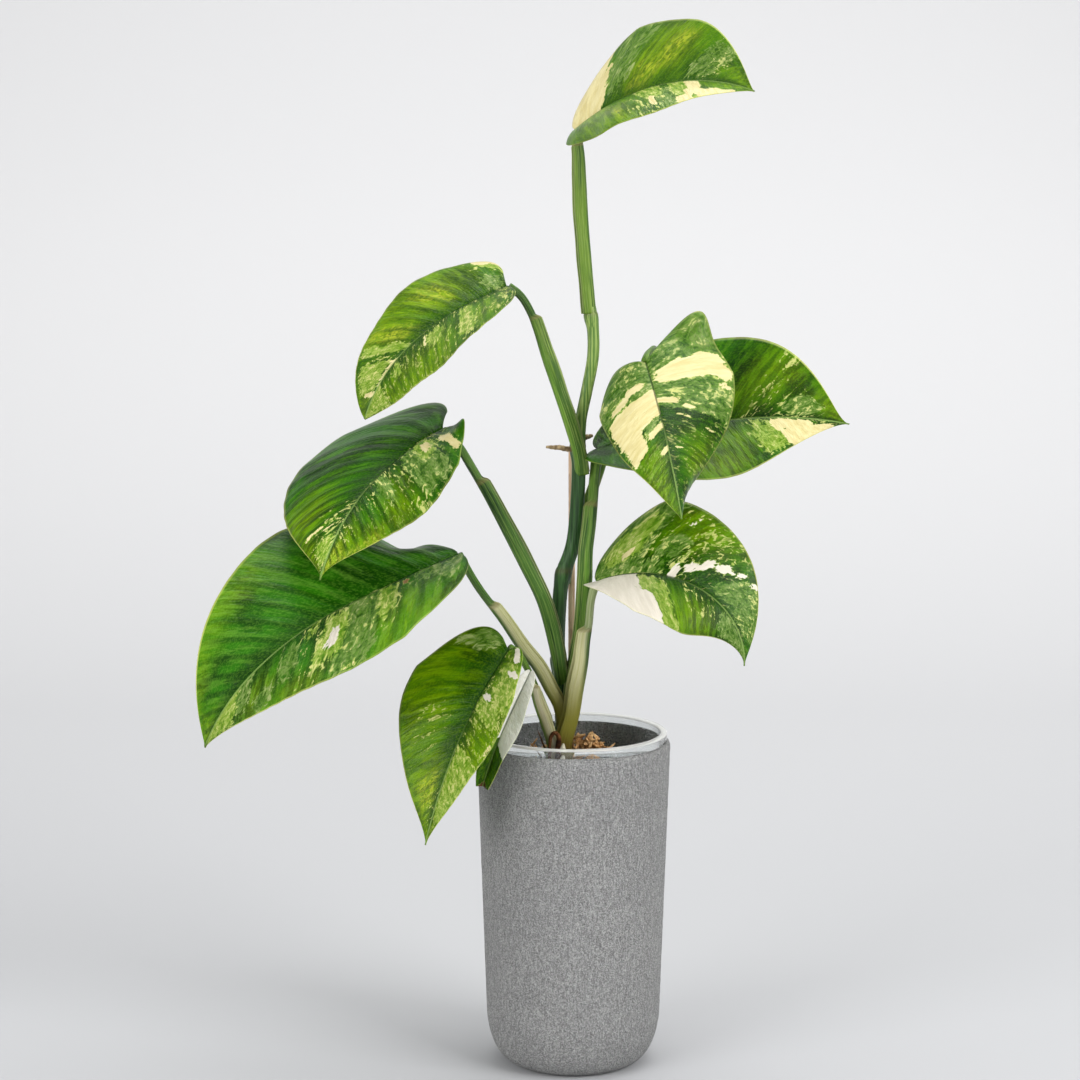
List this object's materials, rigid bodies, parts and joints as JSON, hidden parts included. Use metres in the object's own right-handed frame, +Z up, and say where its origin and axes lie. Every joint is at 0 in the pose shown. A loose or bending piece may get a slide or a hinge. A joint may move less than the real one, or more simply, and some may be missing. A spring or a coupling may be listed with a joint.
{
  "type": "potted foliage plant",
  "caption": "Potted climbing foliage plant: marbled heart-shaped leaves on winged stalks along one staked stem, in a clear cup of bark mix inside a tall grey pot with a rounded foot.",
  "frame": {"origin": "centre of the pot's flat underside", "axes": "+Z up, +Y away from a viewer in front of the plant, +X to that viewer's right"},
  "size_m": [0.3247, 0.1425, 0.5323],
  "materials": {
    "pot_coat": "matte",
    "clear_cup": "gloss",
    "potting_mix": "matte",
    "stake_wood": "matte",
    "root_brown": "matte",
    "stem_green": "satin",
    "stalk_green": "satin",
    "stalk_pale": "satin",
    "leaf_green": "satin",
    "leaf_dark": "satin",
    "leaf_cream": "satin"
  },
  "bodies": {
    "root": {"cover_pot": "pot_coat", "inner_cup": "clear_cup", "substrate": "potting_mix", "support_stake": "stake_wood", "main_stem": "stem_green", "aerial_root_left": "root_brown", "aerial_root_right": "root_brown", "petiole_top": "stalk_green", "petiole_upper_left": "stalk_green", "petiole_mid_left": "stalk_green", "petiole_lower_left": "stalk_pale", "petiole_low_left": "stalk_pale", "petiole_small": "stalk_pale", "petiole_front_right": "stalk_green", "petiole_back_right": "stalk_green", "petiole_lower_right": "stalk_pale", "leaf_top": "leaf_green", "leaf_upper_left": "leaf_green", "leaf_mid_left": "leaf_dark", "leaf_lower_left": "leaf_dark", "leaf_low_left": "leaf_green", "leaf_small": "leaf_cream", "leaf_front_right": "leaf_cream", "leaf_back_right": "leaf_dark", "leaf_lower_right": "leaf_green"}
  },
  "joints": []
}
